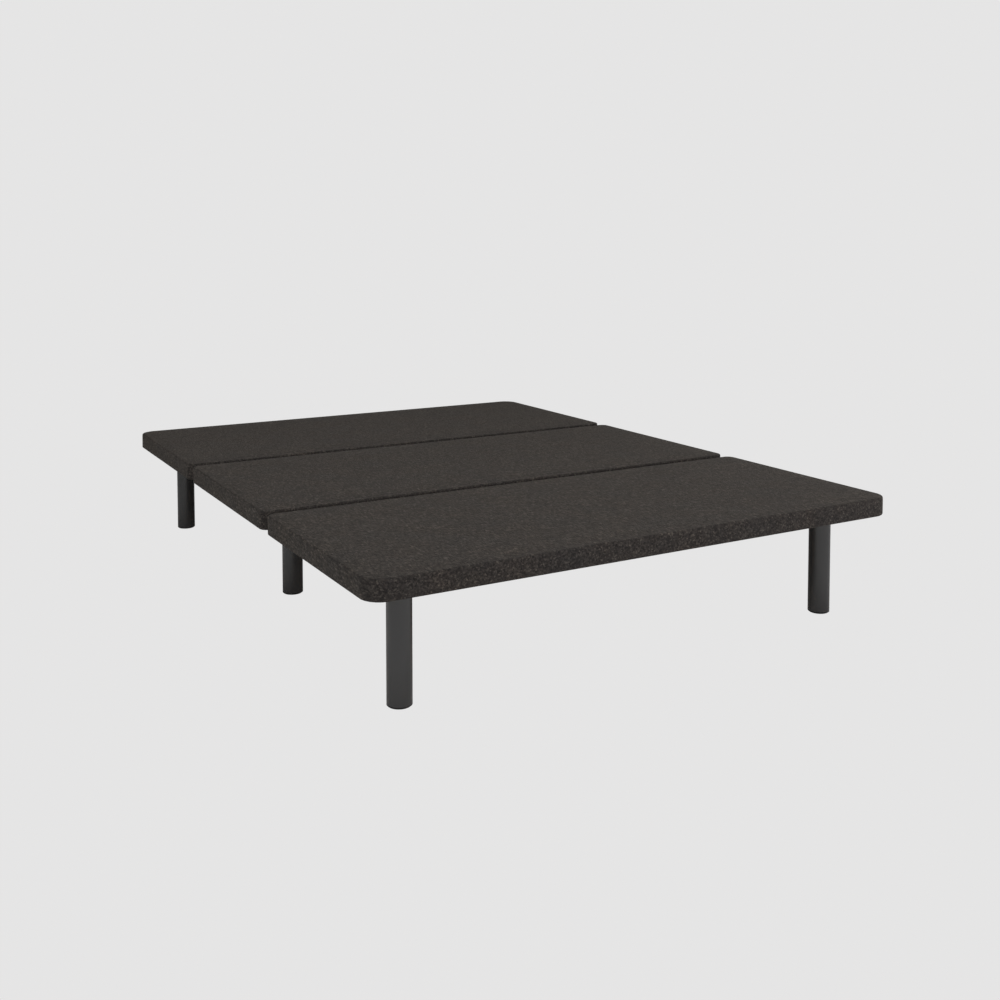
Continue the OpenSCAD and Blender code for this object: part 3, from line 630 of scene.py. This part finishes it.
def make_foam(panel, materials):
    """A closed pad inside the cover, a little smaller than the cover all round."""
    low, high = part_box(panel.tag + "_foam")
    clear, top_clear, cut_in = 1.2 * MM, 1.4 * MM, 4 * MM
    round_rings, side_rings = 6, 4
    r = EDGE_ROUND - clear
    side = EDGE_INSET - clear
    top = high.z - top_clear
    depth = top - r - low.z
    profile = [(side - r, top)] + quarter(side - r, top - r, r, 90, round_rings)
    profile += [(side, top - r - depth * k / side_rings) for k in range(1, side_rings + 1)]
    profile += [(side - cut_in, low.z), (0, low.z)]

    def as_drawn(point, edge, step):
        return point

    piece = slab_mesh(panel.tag + "_foam_pad", panel, EDGE_INSET, top, profile, as_drawn, True)
    piece.data.materials.append(materials["foam"])
    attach(piece, panel.body)
    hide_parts(panel.tag + "_foam")


STAPLE_IN = 13.0 * MM
STAPLE_STEP = 46.0 * MM


def staple_mesh(name, places, low):
    """Flat-wire staples on the hem: each crown lies along it, and its legs go up into the board."""
    crown, leg, wide, thick, bend = 5.5 * MM, 3.0 * MM, 0.6 * MM, 0.55 * MM, 0.8 * MM
    path = [(-crown, leg), (-crown, bend), (-crown + 0.3 * bend, 0.3 * bend), (-crown + bend, 0.0),
            (crown - bend, 0.0), (crown - 0.3 * bend, 0.3 * bend), (crown, bend), (crown, leg)]
    bm = bmesh.new()
    for x, y, along in places:
        across = Vector((-along.y, along.x, 0.0))
        rings = []
        for k, (step, rise) in enumerate(path):
            before, after = path[max(k - 1, 0)], path[min(k + 1, len(path) - 1)]
            run = Vector((after[0] - before[0], after[1] - before[1])).normalized()
            up = along * -run.y + Vector((0.0, 0.0, run.x))
            centre = Vector((x, y, low - thick / 2 + rise)) + along * step
            rings.append([bm.verts.new(centre + across * (a * wide) + up * (b * thick / 2))
                          for a, b in ((-1, -1), (1, -1), (1, 1), (-1, 1))])
        for one, two in zip(rings, rings[1:]):
            for k in range(4):
                bm.faces.new((one[k], one[(k + 1) % 4], two[(k + 1) % 4], two[k]))
        bm.faces.new(rings[0])
        bm.faces.new(rings[-1][::-1])
    bmesh.ops.recalc_face_normals(bm, faces=bm.faces)
    mesh = bpy.data.meshes.new(name)
    bm.to_mesh(mesh)
    bm.free()
    return mesh


def make_staples(panel, materials):
    """Staples along the four straight runs of the hem, between the corners' pleats."""
    places = []
    for side in (-1, 1):
        r = panel.r_high if side > 0 else panel.r_low
        y = (panel.high.y - STAPLE_IN) if side > 0 else (panel.low.y + STAPLE_IN)
        reach = panel.high.x - r - STAPLE_IN
        places += [(x, y, Vector((1.0, 0.0, 0.0))) for x in spread(-reach, reach, STAPLE_STEP)]
        low, high = panel.low.y + panel.r_low + STAPLE_IN, panel.high.y - panel.r_high - STAPLE_IN
        x = side * (panel.high.x - STAPLE_IN)
        places += [(x, y, Vector((0.0, 1.0, 0.0))) for y in spread(low, high, STAPLE_STEP)]
    name = panel.tag + "_staples"
    piece = bpy.data.objects.new(name, staple_mesh(name, places, panel.low.z))
    scene.collection.objects.link(piece)
    piece.data.materials.append(materials["zinc_steel"])
    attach(piece, panel.body)


def make_panels(materials):
    for tag, body, r_low, r_high in (("head", "head_section", GAP_CORNER_R, END_CORNER_R),
                                     ("seat", "chassis", GAP_CORNER_R, GAP_CORNER_R),
                                     ("foot", "foot_section", END_CORNER_R, GAP_CORNER_R)):
        panel = Panel(tag, body, r_low, r_high)
        make_cover(panel, materials)
        make_foam(panel, materials)
        make_staples(panel, materials)


make_camera()
make_studio()
make_floor()
MATERIALS = make_materials()
dress_nodes(MATERIALS)
make_panels(MATERIALS)
